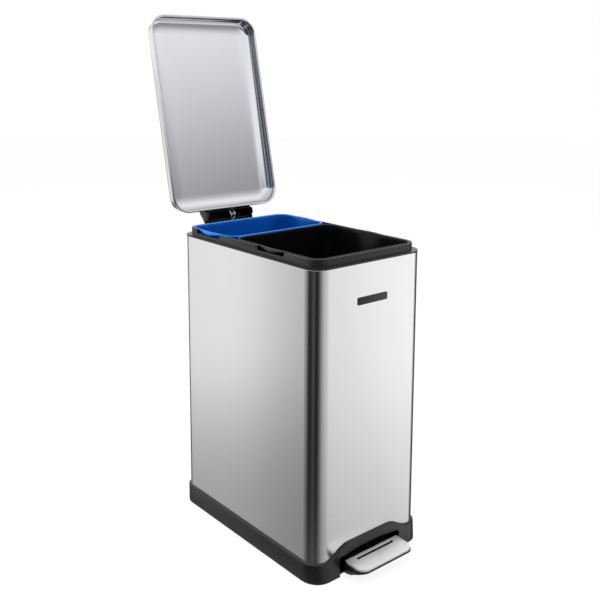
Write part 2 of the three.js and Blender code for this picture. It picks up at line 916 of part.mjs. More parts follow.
function makeTread() {
  const lipWall = 1.4;
  const slotY = treadBack - 9.4;
  const half = slotLength / 2;
  const under = prism(treadOutline(-lipWall), treadTop - treadLip - 1, treadTop - treadSheet);
  return cutAway(
    prism(treadOutline(0), treadTop - treadLip, treadTop),
    under,
    box(-treadWidth, treadWidth, treadBack - 3, treadBack + 1, treadTop - treadLip - 1, treadTop - treadSheet),
    box(-half, half, slotY - slotWidth / 2, slotY + slotWidth / 2, treadTop - 5, treadTop + 1),
    box(half - 2, half + 4, slotY + slotWidth / 2 - 0.6, slotY + slotWidth / 2 + 2.2, treadTop - 0.7, treadTop + 1),
  );
}

function makeTray() {
  const underTread = treadTop - treadSheet - gap;
  const shoulder = treadTop - treadLip - gap;
  const floor = treadTop - trayDepth;
  const tip = treadBack - treadLength - trayRim - 1;
  const wedge = crossPrism([
    new THREE.Vector2(treadBack + 1, floor),
    new THREE.Vector2(treadBack + 1, underTread + 5),
    new THREE.Vector2(tip, underTread + 5),
    new THREE.Vector2(tip, shoulder - 1.6),
    new THREE.Vector2(treadBack - treadLength + 7, shoulder - 4.5),
    new THREE.Vector2(treadBack - 0.6 * treadLength, floor + 9.5),
    new THREE.Vector2(treadBack - 0.38 * treadLength, floor + 3.5),
    new THREE.Vector2(treadBack - 0.1 * treadLength, floor),
  ], -treadWidth, treadWidth);
  const rim = prism(treadOutline(trayRim), floor - 1, shoulder).intersect(wedge);
  const plug = prism(treadOutline(-1.4 - gap), shoulder - 2, underTread);
  const neckHalf = neckWidth / 2;
  const neck = box(-neckHalf, neckHalf, treadBack - 4, treadBack + 26, floor + 6, underTread - 2);
  const barPocket = barWidth / 2 + gap;
  const pocketFront = treadBack - 24 - gap;
  return cutAway(
    joined(rim, plug, neck),
    box(-barPocket, barPocket, pocketFront, treadBack + 30, floor - 1, barHeight / 2 + gap),
    ...pedalScrews.map((y) => rod('z', trayScrew + gap, 0, underTread - 1, 0, y, 12)),
  );
}

function makePedalBar() {
  const half = barWidth / 2;
  const low = -barHeight / 2;
  const end = rearArm + 5;
  const start = treadBack - 24;
  return cutAway(
    box(-half, half, start, end, low, low + barHeight),
    box(-half + barWall, half - barWall, treadBack + 12, end + 1, low + barWall, barHeight),
    box(-half + barWall, half - barWall, start - 1, treadBack + 12, low - 1, low + barHeight - barWall),
    box(-half + barWall, half - barWall, rearArm - 8, end + 1, low - 1, barHeight),
    rod('x', pedalPinRadius + gap, -half - 1, half + 1, 0, 0),
    rod('x', rodRadius + 0.7, -half - 1, half + 1, rearArm, 0),
    ...pedalScrews.map((y) => rod('z', trayScrew + gap, low - 1, barHeight, 0, y, 12)),
  );
}

function makePedalScrew(y) {
  const roof = barHeight / 2 - barWall;
  return joined(
    rod('z', trayScrew, roof - 1, treadTop - treadSheet - gap - 1.4, 0, y, 12),
    rod('z', trayScrewHead, roof - gap - 1.8, roof - gap, 0, y, 16),
  );
}

function makePedalBracket() {
  const inner = barWidth / 2 + 1;
  const outer = inner + 2;
  const wing = outer + 15;
  const floor = coverThickness + gap;
  const ear = [
    new THREE.Vector2(pivotY - 11, floor),
    new THREE.Vector2(pivotY + 11, floor),
    ...arc(pivotY, pivotHeight, earRadius, 10, 170, 8),
  ];
  return cutAway(
    joined(
      box(-wing, wing, pivotY - 11, pivotY + 11, floor, floor + 2),
      crossPrism(ear, -outer, -inner),
      crossPrism(ear, inner, outer),
    ),
    rod('x', pedalPinRadius + gap, -outer - 1, outer + 1, pivotY, pivotHeight),
    ...pedalRivetPlaces().map(([x, y]) => rod('z', screwHole, 0, floor + 4, x, y, 12)),
  );
}

function makePedalPin() {
  const side = barWidth / 2 + 3 + gap;
  return joined(
    rod('x', pedalPinRadius, -side - headHeight, side + headHeight, pivotY, pivotHeight),
    rod('x', pedalPinRadius + pinHead, -side - headHeight, -side, pivotY, pivotHeight),
    rod('x', pedalPinRadius + pinHead, side, side + headHeight, pivotY, pivotHeight),
  );
}

function makeBracketRivet([x, y]) {
  const seat = coverThickness + gap + 2 + gap;
  return joined(
    rod('z', screwRadius, 0.4, seat + 1, x, y, 12),
    rod('z', screwHead, seat, seat + headHeight, x, y, 16),
  );
}

// ---------- assembly ----------

const bin = new THREE.Group();
bin.add(named('outer_body', makeOuterBody(), brushedSteel()));
bin.add(named('base', makeBase(), blackPlastic()));
bin.add(named('bottom_cover', makeBottomCover(), blackPlastic()));
bin.add(named('collar', makeCollar(), blackPlastic()));
bin.add(named('badge_plate', makeBadge(), blackPlastic()));
footPlaces(footInset).forEach((place, index) => {
  bin.add(named(`grip_pad_${index + 1}`, makeGripPad(place), greyRubber()));
});
coverScrewPlaces().forEach((place, index) => {
  bin.add(named(`cover_screw_${index + 1}`, makeCoverScrew(place), polishedSteel()));
});

bin.add(named('blue_bucket', makeBucket(blueLength, blueCentre), bluePlastic()));
bin.add(named('black_bucket', makeBucket(blackLength, blackCentre), blackPlastic()));

bin.add(named('hinge_bracket', makeHingeBracket(), blackPlastic()));
bin.add(named('hinge_pin', makeHingePin(), polishedSteel()));
bin.add(named('hinge_pin_clip', makePinClip(), polishedSteel()));
bracketScrewPlaces().forEach((place, index) => {
  bin.add(named(`bracket_screw_${index + 1}`, makeBracketScrew(place), polishedSteel()));
});

// The lid's pieces are drawn closed and swing open about the hinge axis.
const lidSwing = new THREE.Group();
lidSwing.position.set(0, axisY, axisZ);
lidSwing.rotation.x = -radians(openAngle);
const lid = new THREE.Group();
lid.position.set(0, -axisY, -axisZ);
lidSwing.add(lid);
bin.add(lidSwing);
lid.add(named('lid_pan', makeLidPan(), polishedSteel()));
lid.add(named('hinge_cover', makeHingeCover(), blackPlastic()));
lid.add(named('lid_lever', makeLidLever(), polishedSteel()));
lidRivetPlaces().forEach((place, index) => {
  const holdsLever = index === 1 || index === 2;
  const grip = holdsLever ? hoodWall + gap + leverThickness : hoodWall;
  lid.add(named(`lid_rivet_${index + 1}`, makeLidRivet(place, grip), polishedSteel()));
});

bin.add(named('push_rod', makePushRod(), polishedSteel()));
bin.add(named('rod_clip', makeRodClip(), polishedSteel()));
bin.add(named('rod_guide_upper', makeRodGuide(bodyTop * 0.75), blackPlastic()));
bin.add(named('rod_guide_lower', makeRodGuide(bodyTop * 0.25), blackPlastic()));

bin.add(pedalGroup);
pedalGroup.add(named('pedal_tread', makeTread(), brushedSteel()));
pedalGroup.add(named('pedal_tray', makeTray(), blackPlastic()));
pedalGroup.add(named('pedal_bar', makePedalBar(), polishedSteel()));
pedalScrews.forEach((y, index) => {
  pedalGroup.add(named(`pedal_screw_${index + 1}`, makePedalScrew(y), polishedSteel()));
});
bin.add(named('pedal_bracket', makePedalBracket(), polishedSteel()));
bin.add(named('pedal_pin', makePedalPin(), polishedSteel()));
pedalRivetPlaces().forEach((place, index) => {
  bin.add(named(`pedal_bracket_rivet_${index + 1}`, makeBracketRivet(place), polishedSteel()));
});

export default bin;
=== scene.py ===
"""Looks for the double recycling bin: finer pieces, procedural materials, studio and camera."""

import json
import math

import bmesh
import bpy
from mathutils import Matrix, Vector

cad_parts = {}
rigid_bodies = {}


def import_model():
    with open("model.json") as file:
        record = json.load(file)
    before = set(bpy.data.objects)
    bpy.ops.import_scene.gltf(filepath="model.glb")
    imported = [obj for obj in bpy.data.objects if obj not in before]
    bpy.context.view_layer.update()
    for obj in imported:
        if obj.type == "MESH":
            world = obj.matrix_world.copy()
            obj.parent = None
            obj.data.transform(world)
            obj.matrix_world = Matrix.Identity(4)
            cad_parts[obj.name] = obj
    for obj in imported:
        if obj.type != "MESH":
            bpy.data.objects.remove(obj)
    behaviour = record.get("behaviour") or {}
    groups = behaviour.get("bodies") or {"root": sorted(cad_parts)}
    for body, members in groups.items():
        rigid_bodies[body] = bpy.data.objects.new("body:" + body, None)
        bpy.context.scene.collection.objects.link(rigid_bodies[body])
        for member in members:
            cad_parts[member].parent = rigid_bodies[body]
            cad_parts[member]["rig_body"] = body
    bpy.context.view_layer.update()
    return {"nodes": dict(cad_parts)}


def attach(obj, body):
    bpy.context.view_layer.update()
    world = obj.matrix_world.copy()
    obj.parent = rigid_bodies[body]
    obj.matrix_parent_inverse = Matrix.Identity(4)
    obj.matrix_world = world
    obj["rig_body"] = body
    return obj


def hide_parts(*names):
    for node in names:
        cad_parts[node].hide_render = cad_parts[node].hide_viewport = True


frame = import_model()
NODES = frame["nodes"]
MM = 0.001

# ---------- dimensions shared with the CAD part, in millimetres ----------

BODY_WIDTH, BODY_DEPTH, BODY_TOP, BODY_RADIUS, SHEET = 262, 409, 560, 30, 0.8
FRONT, REAR = -BODY_DEPTH / 2, BODY_DEPTH / 2
LEDGE = 20.3
LID_WIDTH, LID_LENGTH, LID_RADIUS, LID_HEIGHT = 261.4, 408.4, 36, 22.9
LID_RIM, LID_REAR = 569.0, REAR - 1
BEAD = 2.5
AXIS_Y, AXIS_Z, OPEN_ANGLE = 225.6, 573.3, 102.1
BUCKET_WIDTH, RIM_TOP = 237.0, 577.5
BUCKET_CENTRES = {"blue": 120.0, "black": -74.0}
PEDAL_OPENING_HALF_WIDTH, PEDAL_OPENING_TOP = 79, 45.5
ROD_WINDOW_HALF_WIDTH, ROD_WINDOW_BOTTOM, ROD_WINDOW_TOP = 3.4, 509.84, 539.4
PEDAL_PIVOT_Y, PEDAL_PIVOT_Z, PRESSED_ANGLE = FRONT + 79.5, 24.6, 2.04

LID_SWING = (
    Matrix.Translation((0, AXIS_Y, AXIS_Z))
    @ Matrix.Rotation(-math.radians(OPEN_ANGLE), 4, "X")
    @ Matrix.Translation((0, -AXIS_Y, -AXIS_Z))
)


# ---------- node helpers ----------

class Shader:
    """A small wrapper that adds nodes and links to one node tree."""

    def __init__(self, tree):
        self.tree = tree
        self.tree.nodes.clear()

    def add(self, kind, **values):
        node = self.tree.nodes.new(kind)
        for key, value in values.items():
            if key.startswith("in_"):
                name = key[3:].replace("_", " ")
                spot = int(name) if name.isdigit() else name
                socket = node.inputs[spot]
                if isinstance(value, bpy.types.NodeSocket):
                    self.tree.links.new(value, socket)
                else:
                    socket.default_value = value
            else:
                setattr(node, key, value)
        return node

    def maths(self, operation, a, b=None, c=None, clamp=False):
        node = self.add("ShaderNodeMath", operation=operation, use_clamp=clamp)
        for index, value in enumerate((a, b, c)):
            if value is None:
                continue
            if isinstance(value, bpy.types.NodeSocket):
                self.tree.links.new(value, node.inputs[index])
            else:
                node.inputs[index].default_value = value
        return node.outputs[0]

    def ramp(self, factor, stops, interpolation="LINEAR"):
        node = self.add("ShaderNodeValToRGB")
        node.color_ramp.interpolation = interpolation
        elements = node.color_ramp.elements
        while len(elements) > 1:
            elements.remove(elements[-1])
        elements[0].position = stops[0][0]
        elements[0].color = grey(stops[0][1])
        for position, value in stops[1:]:
            elements.new(position).color = grey(value)
        self.tree.links.new(factor, node.inputs[0])
        return node.outputs[0]

    def noise(self, vector, scale, detail=2.0, roughness=0.5):
        node = self.add("ShaderNodeTexNoise", in_Vector=vector, in_Scale=scale)
        node.inputs["Detail"].default_value = detail
        node.inputs["Roughness"].default_value = roughness
        return node.outputs[0]

    def stretched(self, scale, turn=(0, 0, 0)):
        place = self.add("ShaderNodeTexCoord").outputs["Object"]
        node = self.add("ShaderNodeMapping", in_Vector=place)
        node.inputs["Scale"].default_value = scale
        node.inputs["Rotation"].default_value = turn
        return node.outputs[0]

    def spread(self, factor, low, high):
        return self.add(
            "ShaderNodeMapRange", in_Value=factor, in_From_Min=0.3, in_From_Max=0.7,
            in_To_Min=low, in_To_Max=high,
        ).outputs[0]


def grey(value):
    if isinstance(value, (int, float)):
        return (value, value, value, 1)
    return (*value, 1)


def tinted(shader, factor, dark, light):
    return shader.ramp(factor, [(0.3, dark), (0.7, light)])


def principled(name):
    material = bpy.data.materials.new(name)
    material.use_nodes = True
    shader = Shader(material.node_tree)
    surface = shader.add("ShaderNodeBsdfPrincipled")
    output = shader.add("ShaderNodeOutputMaterial")
    shader.tree.links.new(surface.outputs[0], output.inputs[0])
    return material, shader, surface


def bump(shader, surface, height, strength, distance):
    node = shader.add("ShaderNodeBump", in_Strength=strength, in_Height=height)
    node.inputs["Distance"].default_value = distance
    shader.tree.links.new(node.outputs[0], surface.inputs["Normal"])


# ---------- materials ----------

# Heights in metres between which a bucket's rim is painted paler: a painted highlight on the rim's top,
# where the light falls.
RIM_HIGHLIGHT_FROM, RIM_HIGHLIGHT_TO = 0.5752, 0.5772


def steel(name, colour, rough, streak_scale, tangent_turn, anisotropic=0.55, strength=1.0, metallic=1.0):
    """Satin sheet steel: fine one-way grain, soft cloudy sheen."""
    material, shader, surface = principled(name)
    surface.inputs["Metallic"].default_value = metallic
    surface.inputs["Anisotropic"].default_value = anisotropic
    surface.inputs["Anisotropic Rotation"].default_value = tangent_turn
    grain = shader.noise(shader.stretched(streak_scale), 1.0, 3.0, 0.65)
    cloud = shader.noise(shader.stretched((5, 5, 3)), 1.0, 2.0)
    both = shader.maths("ADD", shader.maths("MULTIPLY", grain, 0.65), shader.maths("MULTIPLY", cloud, 0.35))
    low = [(1 - 0.06 * strength) * channel for channel in colour]
    high = [(1 + 0.05 * strength) * channel for channel in colour]
    shader.tree.links.new(tinted(shader, both, low, high), surface.inputs["Base Color"])
    shader.tree.links.new(
        shader.spread(both, rough * (1 - 0.18 * strength), rough * (1 + 0.2 * strength)),
        surface.inputs["Roughness"],
    )
    bump(shader, surface, grain, 0.06 * strength, 0.00004)
    return material


def plastic(name, colour, rough, grain_scale=1500, grain=0.12, shine=0.5, rim=None):
    """Moulded plastic with a fine spark-eroded grain, faint flow marks and, if given, a painted highlight
    that makes the rim's top paler.
    """
    material, shader, surface = principled(name)
    surface.inputs["Specular IOR Level"].default_value = shine
    fine = shader.noise(shader.stretched((1, 1, 1)), grain_scale, 2.0)
    flow = shader.noise(shader.stretched((9, 9, 4)), 1.0, 3.0)
    low = [0.86 * channel for channel in colour]
    high = [1.12 * channel for channel in colour]
    tint = tinted(shader, flow, low, high)
    # Painted highlight: the top of the rim takes the paler colour, as if lit from above.
    if rim:
        place = shader.add("ShaderNodeTexCoord").outputs["Object"]
        up = shader.add("ShaderNodeSeparateXYZ", in_Vector=place).outputs[2]
        rim_highlight_mask = shader.add(
            "ShaderNodeMapRange", in_Value=up, in_From_Min=RIM_HIGHLIGHT_FROM, in_From_Max=RIM_HIGHLIGHT_TO,
        ).outputs[0]
        mixed = shader.add("ShaderNodeMix", data_type="RGBA", in_0=rim_highlight_mask)
        shader.tree.links.new(tint, mixed.inputs[6])
        mixed.inputs[7].default_value = (*rim, 1)
        tint = mixed.outputs[2]
    shader.tree.links.new(tint, surface.inputs["Base Color"])
    both = shader.maths("ADD", shader.maths("MULTIPLY", fine, 0.4), shader.maths("MULTIPLY", flow, 0.6))
    shader.tree.links.new(shader.spread(both, rough * 0.85, rough * 1.2), surface.inputs["Roughness"])
    bump(shader, surface, fine, grain, 0.00015)
    return material


def zinc(name, colour, rough):
    """Plated wire and fasteners."""
    material, shader, surface = principled(name)
    surface.inputs["Metallic"].default_value = 1.0
    patch = shader.noise(shader.stretched((60, 60, 60)), 1.0, 3.0)
    low = [0.88 * channel for channel in colour]
    shader.tree.links.new(tinted(shader, patch, low, colour), surface.inputs["Base Color"])
    shader.tree.links.new(shader.spread(patch, rough * 0.8, rough * 1.3), surface.inputs["Roughness"])
    bump(shader, surface, shader.noise(shader.stretched((1, 1, 1)), 900, 2.0), 0.08, 0.0001)
    return material


BODY_STEEL = steel("body_steel", (0.78, 0.775, 0.79), 0.17, (6, 6, 1100), 0.25, 0.4, 0.7)
LID_STEEL = steel("lid_steel", (0.75, 0.755, 0.775), 0.11, (700, 9, 9), 0.0, 0.1, 0.2)
TREAD_STEEL = steel("tread_steel", (0.80, 0.80, 0.80), 0.5, (14, 1100, 1100), 0.0, 0.3, 1.0, 0.7)
BLACK_PLASTIC = plastic("black_plastic", (0.006, 0.0058, 0.007), 0.3, 1500, 0.08, 0.5)
# The last colour given to each bucket plastic is a painted highlight on the top of its rim.
BUCKET_BLACK = plastic("bucket_black", (0.0012, 0.0015, 0.002), 0.3, 1400, 0.06, 0.18, (0.02, 0.021, 0.024))
GLOSSY_BLACK = plastic("glossy_black_plastic", (0.005, 0.0052, 0.006), 0.2, 1800, 0.03, 0.4)
BLUE_PLASTIC = plastic("blue_plastic", (0.0006, 0.055, 0.29), 0.24, 1400, 0.06, 0.45, (0.012, 0.17, 0.6))
# Painted highlight: the blue lip is the bucket's blue plastic, painted a paler blue for the light that falls
# on it.
BLUE_LIP_PAINTED_HIGHLIGHT = plastic("blue_lip_painted_highlight", (0.008, 0.14, 0.55), 0.24, 1400, 0.06, 0.5)
RUBBER = plastic("grip_rubber", (0.03, 0.03, 0.031), 0.8, 900, 0.5, 0.3)
HARDWARE = zinc("plated_steel", (0.66, 0.67, 0.69), 0.22)
BLACKENED = zinc("blackened_steel", (0.03, 0.031, 0.033), 0.35)

MATERIAL_OF = {
    "outer_body": BODY_STEEL,
    "lid_pan": LID_STEEL,
    "pedal_tread": TREAD_STEEL,
    "blue_bucket": BLUE_PLASTIC,
    "black_bucket": BUCKET_BLACK,
    "hinge_pin": BLACKENED,
    "hinge_pin_clip": BLACKENED,
    "badge_plate": GLOSSY_BLACK,
    "hinge_cover": GLOSSY_BLACK,
}
BLACK_PARTS = (
    "base", "bottom_cover", "collar", "hinge_bracket", "rod_guide_upper", "rod_guide_lower", "pedal_tray",
)
MATERIAL_OF.update((part, BLACK_PLASTIC) for part in BLACK_PARTS)


def material_for(node):
    if node.startswith("grip_pad"):
        return RUBBER
    return MATERIAL_OF.get(node, HARDWARE)


for node_name, node_object in NODES.items():
    for slot in node_object.material_slots:
        slot.material = material_for(node_name)


# ---------- mesh helpers ----------

# Metres within which points are one, degrees under which faces are flat and over which an edge is eased.
WELD_DISTANCE, FLAT_ANGLE, EDGE_ANGLE = 0.00001, 0.6, 32
# Degrees over which a piece's edge is shaded as sharp, unless it is told otherwise.
SHARP_ANGLE = 38


def body_of(node):
    return NODES[node]["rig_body"]


def finish_piece(obj, material, angle=SHARP_ANGLE):
    obj.data.materials.clear()
    obj.data.materials.append(material)
    for face in obj.data.polygons:
        face.use_smooth = True
    obj.data.set_sharp_from_angle(angle=math.radians(angle))


def bake_modifiers(obj):
    """Works the object's modifiers into its mesh."""
    graph = bpy.context.evaluated_depsgraph_get()
    made = bpy.data.meshes.new_from_object(obj.evaluated_get(graph))
    obj.modifiers.clear()
    obj.data = made


def new_piece(name, mesh):
    obj = bpy.data.objects.new(name, mesh)
    bpy.context.scene.collection.objects.link(obj)
    return obj


def stand_in(obj, node, angle=SHARP_ANGLE):
    """The piece takes a CAD node's place, body and material."""
    material = material_for(node)
    finish_piece(obj, material, angle)
    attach(obj, body_of(node))
    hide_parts(node)


def ride_along(obj, node, material, angle=SHARP_ANGLE):
    """The piece is an extra one that moves with a CAD node."""
    finish_piece(obj, material, angle)
    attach(obj, body_of(node))


def ease_edges(node, width, segments):
    """A copy of a CAD node's mesh with its edges rounded, as moulding and pressing leave them."""
    mesh = NODES[node].data.copy()
    work = bmesh.new()
    work.from_mesh(mesh)
    bmesh.ops.remove_doubles(work, verts=work.verts, dist=WELD_DISTANCE)
    bmesh.ops.dissolve_limit(work, angle_limit=math.radians(FLAT_ANGLE), verts=work.verts, edges=work.edges)
    work.to_mesh(mesh)
    work.free()
    obj = new_piece(node + "_piece", mesh)
    rounding = obj.modifiers.new("edges", "BEVEL")
    rounding.width = width * MM
    rounding.segments = segments
    rounding.limit_method = "ANGLE"
    rounding.angle_limit = math.radians(EDGE_ANGLE)
    rounding.harden_normals = False
    rounding.use_clamp_overlap = True
    weighting = obj.modifiers.new("normals", "WEIGHTED_NORMAL")
    weighting.keep_sharp = True
    bake_modifiers(obj)
    stand_in(obj, node)


def rounded(width, depth, radius, steps, centre_y=0.0):
    """Outline of a rounded rectangle, anticlockwise, in millimetres."""
    points = []
    x, y = width / 2 - radius, depth / 2 - radius
    centres = [(x, y), (-x, y), (-x, -y), (x, -y)]
    for index, (cx, cy) in enumerate(centres):
        for step in range(steps + 1):
            angle = (index + step / steps) * math.pi / 2
            points.append((cx + radius * math.cos(angle), cy + radius * math.sin(angle) + centre_y))
    return points


def loft(name, rings, closed=False, matrix=None):
    """A skin through rings of equal length, in millimetres, capped unless its last ring joins its first."""
    work = bmesh.new()
    rows = [[work.verts.new([c * MM for c in point]) for point in ring] for ring in rings]
    count = len(rows[0])
    pairs = list(zip(rows, rows[1:]))
    if closed:
        pairs.append((rows[-1], rows[0]))
    for here, ahead in pairs:
        for index in range(count):
            beside = (index + 1) % count
            work.faces.new((here[index], here[beside], ahead[beside], ahead[index]))
    if not closed:
        work.faces.new(list(reversed(rows[0])))
        work.faces.new(rows[-1])
    bmesh.ops.recalc_face_normals(work, faces=work.faces)
    if matrix is not None:
        shift = Matrix.Scale(MM, 4) @ matrix @ Matrix.Scale(1 / MM, 4)
        bmesh.ops.transform(work, matrix=shift, verts=work.verts)
    mesh = bpy.data.meshes.new(name)
    work.to_mesh(mesh)
    work.free()
    return new_piece(name, mesh)


def cut_box(target, low, high):
    """Cuts a box, given in millimetres, out of a piece."""
    mesh = bpy.data.meshes.new("cutter")
    work = bmesh.new()
    bmesh.ops.create_cube(work, size=1)
    for vert in work.verts:
        vert.co = Vector([
            (low[i] + high[i]) / 2 * MM + vert.co[i] * (high[i] - low[i]) * MM for i in range(3)
        ])
    work.to_mesh(mesh)
    work.free()
    cutter = new_piece("cutter", mesh)
    boolean = target.modifiers.new("cut", "BOOLEAN")
    boolean.operation = "DIFFERENCE"
    boolean.solver = "EXACT"
    boolean.object = cutter
    bake_modifiers(target)
    bpy.data.objects.remove(cutter)


# ---------- steel sleeve ----------

def body_ring(offset, z, steps=20):
    outline = rounded(BODY_WIDTH + 2 * offset, BODY_DEPTH + 2 * offset, BODY_RADIUS + offset, steps)
    return [(x, y, z) for x, y in outline]


EDGE_EASE = 0.3
sleeve = loft("steel_sleeve", [
    body_ring(-EDGE_EASE, LEDGE),
    body_ring(0, LEDGE + EDGE_EASE),
    body_ring(0, 40),
    body_ring(0, BODY_TOP - 0.5),
    body_ring(-EDGE_EASE, BODY_TOP),
    body_ring(-SHEET, BODY_TOP),
    body_ring(-SHEET, LEDGE),
], closed=True)
cut_box(
    sleeve,
    (-PEDAL_OPENING_HALF_WIDTH, FRONT - 5, 0),
    (PEDAL_OPENING_HALF_WIDTH, FRONT + 20, PEDAL_OPENING_TOP),
)
cut_box(
    sleeve,
    (-ROD_WINDOW_HALF_WIDTH, REAR - 8, ROD_WINDOW_BOTTOM),
    (ROD_WINDOW_HALF_WIDTH, REAR + 3, ROD_WINDOW_TOP),
)
stand_in(sleeve, "outer_body", 30)

# The folded joint of the sheet runs down the middle of the rear wall, from the base to the hinge plate.
SEAM_BOTTOM, SEAM_TOP, SEAM_HEIGHT, SEAM_TAPER = LEDGE + 19, 489.5, 0.55, 0.5


def seam_ring(z, inset, sunk):
    y = REAR - sunk
    foot = [(-6 + inset, y, z), (-5 + inset, y + SEAM_HEIGHT, z)]
    return [*foot, (4.6 - inset, y + SEAM_HEIGHT, z), (5 - inset, y, z)]


seam = loft("rear_seam", [
    seam_ring(SEAM_BOTTOM, 0.4, 0.2),
    seam_ring(SEAM_BOTTOM + SEAM_TAPER, 0, 0.02),
    seam_ring(SEAM_TOP - SEAM_TAPER, 0, 0.02),
    seam_ring(SEAM_TOP, 0.4, 0.2),
])
ride_along(seam, "outer_body", BODY_STEEL, 30)

# ---------- lid ----------

# The scene's lid is this much narrower and shorter than the CAD lid, which keeps it inside the CAD box.
LID_SLACK = 0.1
LID_WALL = 3.0


def lid_ring(inset, height, steps=14):
    outline = rounded(
        LID_WIDTH - LID_SLACK - 2 * inset, LID_LENGTH - LID_SLACK - 2 * inset, LID_RADIUS - inset, steps,
        LID_REAR - LID_LENGTH / 2,
    )
    return [(x, y, LID_RIM + height) for x, y in outline]


def arc_profile(centre_inset, centre_height, radius, start, end, steps):
    made = []
    for step in range(steps + 1):
        angle = math.radians(start + (end - start) * step / steps)
        made.append((centre_inset + radius * math.cos(angle), centre_height + radius * math.sin(angle)))
    return made


# Each point is an inset from the lid's outline and a height above its rim.
outer_fillet = arc_profile(LID_WALL + 7.3, LID_HEIGHT - 7, 7, 180, 90, 8)
crown = [(35.5, 22.2), (29, 22.05), (24, 21.8), (20, 21.45), (17, 21.08)]
inner_fillet = arc_profile(15, 9.69, 11, 98, 180, 16)
bead = arc_profile(BEAD, 0, BEAD, 20, -240, 16)
profile = [
    *crown, *inner_fillet, (LID_WALL + SHEET, 1.9), *bead,
    (LID_WALL, BEAD + 0.4), *outer_fillet, (30, LID_HEIGHT),
]
lid = loft("lid_shell", [lid_ring(inset, height) for inset, height in profile], matrix=LID_SWING)
stand_in(lid, "lid_pan", 50)

# ---------- finger lips of the buckets ----------

LIP_HALF_LENGTH, LIP_STEPS, LIP_SIDES = 46, 20, 16
LIP_REACH, LIP_THIN, LIP_SWELL = 4.6, 1.0, 3.0
LIP_PROUD = 0.05


def finger_lip(name, node, centre, side, material):
    """The swollen lip on a bucket's rim, thickest in the middle of the notch."""
    rings = []
    for step in range(-LIP_STEPS, LIP_STEPS + 1):
        along = step / LIP_STEPS
        bulge = (1 + math.cos(math.pi * along)) / 2
        reach = LIP_REACH * (1 + math.cos(math.pi * abs(along) * 0.92)) / 2
        radius = LIP_THIN + LIP_SWELL * bulge
        x = BUCKET_WIDTH / 2 + 1.4 * reach + 0.6 * bulge - radius + LIP_PROUD
        y = centre + LIP_HALF_LENGTH * along
        z = RIM_TOP + LIP_PROUD - radius
        angles = [turn * 2 * math.pi / LIP_SIDES for turn in range(LIP_SIDES)]
        rings.append([
            (side * (x + radius * math.cos(angle)), y, z + radius * math.sin(angle)) for angle in angles
        ])
    ride_along(loft(name, rings), node, material)


# The blue lips take the paler blue with its painted highlight.
LIP_MATERIALS = {"blue": BLUE_LIP_PAINTED_HIGHLIGHT, "black": BLACK_PLASTIC}
for side, word in ((-1, "left"), (1, "right")):
    for colour, material in LIP_MATERIALS.items():
        finger_lip(f"{colour}_lip_{word}", f"{colour}_bucket", BUCKET_CENTRES[colour], side, material)

# ---------- mouldings and small parts with eased edges ----------

# The tray's rib fills the tread's slot to just under the steel. Its y and z count from the pedal's pivot.
PEDAL_SWING = (
    Matrix.Translation((0, PEDAL_PIVOT_Y, PEDAL_PIVOT_Z))
    @ Matrix.Rotation(math.radians(PRESSED_ANGLE), 4, "X")
)
RIB_EASE = 0.25


def tread_rib(name, low, high):
    """A round-ended bar between two corners, with its top edge eased."""
    width, depth = high[0] - low[0], high[1] - low[1]
    centre_x, centre_y = (low[0] + high[0]) / 2, (low[1] + high[1]) / 2
    rings = []
    for inset, z in ((0, low[2]), (0, high[2] - RIB_EASE), (RIB_EASE, high[2])):
        outline = rounded(width - 2 * inset, depth - 2 * inset, 0.45 * depth - inset, 5)
        rings.append([(x + centre_x, y + centre_y, z) for x, y in outline])
    ride_along(loft(name, rings, matrix=PEDAL_SWING), "pedal_tread", BUCKET_BLACK)


tread_rib("tread_slot_rib", (-45.3, -99.6, 6.05), (45.3, -94.6, 8.0))
tread_rib("tread_slot_tab", (43.9, -94.4, 7.65), (49.1, -92.5, 8.1))

# Each moulding or pressing with the width of its eased edge in millimetres and the number of steps in it.
EASED_EDGES = {
    "base": (0.5, 3),
    "collar": (0.6, 3),
    "hinge_cover": (0.7, 3),
    "hinge_bracket": (0.4, 2),
    "pedal_tray": (0.6, 3),
    "pedal_tread": (0.2, 2),
    "badge_plate": (0.25, 3),
    "bottom_cover": (0.5, 2),
    "blue_bucket": (0.6, 3),
    "black_bucket": (0.6, 3),
}
for part, (ease_width, ease_steps) in EASED_EDGES.items():
    ease_edges(part, ease_width, ease_steps)


# ---------- studio ----------

def ring_position(degrees):
    """Place on a 0 to 1 ramp of a compass direction in the plan, 0 degrees being +X."""
    return ((degrees + 180) % 360) / 360


def compass(stops):
    return sorted((ring_position(degrees), value) for degrees, value in stops)


def blend(shader, factor, first, second, kind="MIX"):
    """Two colours mixed by a factor. Each is a socket or a plain colour."""
    node = shader.add("ShaderNodeMix", data_type="RGBA", blend_type=kind, in_0=factor)
    for index, colour in ((6, first), (7, second)):
        if isinstance(colour, bpy.types.NodeSocket):
            shader.tree.links.new(colour, node.inputs[index])
        else:
            node.inputs[index].default_value = colour
    return node.outputs[2]


# What polished steel mirrors, as stops of compass degrees and light: first below the horizon, then above it.
BELOW = [
    (-179.9, 0.015), (-168, 0.02), (-158, 0.06), (-150, 0.06), (-140, 0.01), (-130, 0.01),
    (-120, 0.05), (-108, 0.18), (-98, 0.33), (-86, 0.46), (-54, 0.66), (-47, 0.83), (-40, 0.96),
    (-28, 0.96), (-16, 0.5), (-8, 0.05), (18, 0.05), (30, 0.8), (45, 1.0), (80, 1.0), (90, 0.05),
    (104, 0.05), (110, 0.66), (120, 0.76), (126, 0.85), (131, 0.52), (140, 0.34), (155, 0.22),
    (164, 0.12), (171, 0.012), (179.9, 0.015),
]
ABOVE = [
    (-179.9, 0.6), (-165, (0.05, 0.06, 0.08)), (-90, (0.07, 0.085, 0.12)), (-66, (0.09, 0.1, 0.13)),
    (-58, 0.25), (-30, 0.28), (-18, 0.06), (22, 0.06), (40, 0.95), (85, 0.95), (96, 0.3), (112, 0.9),
    (165, 0.95), (179.9, 0.6),
]
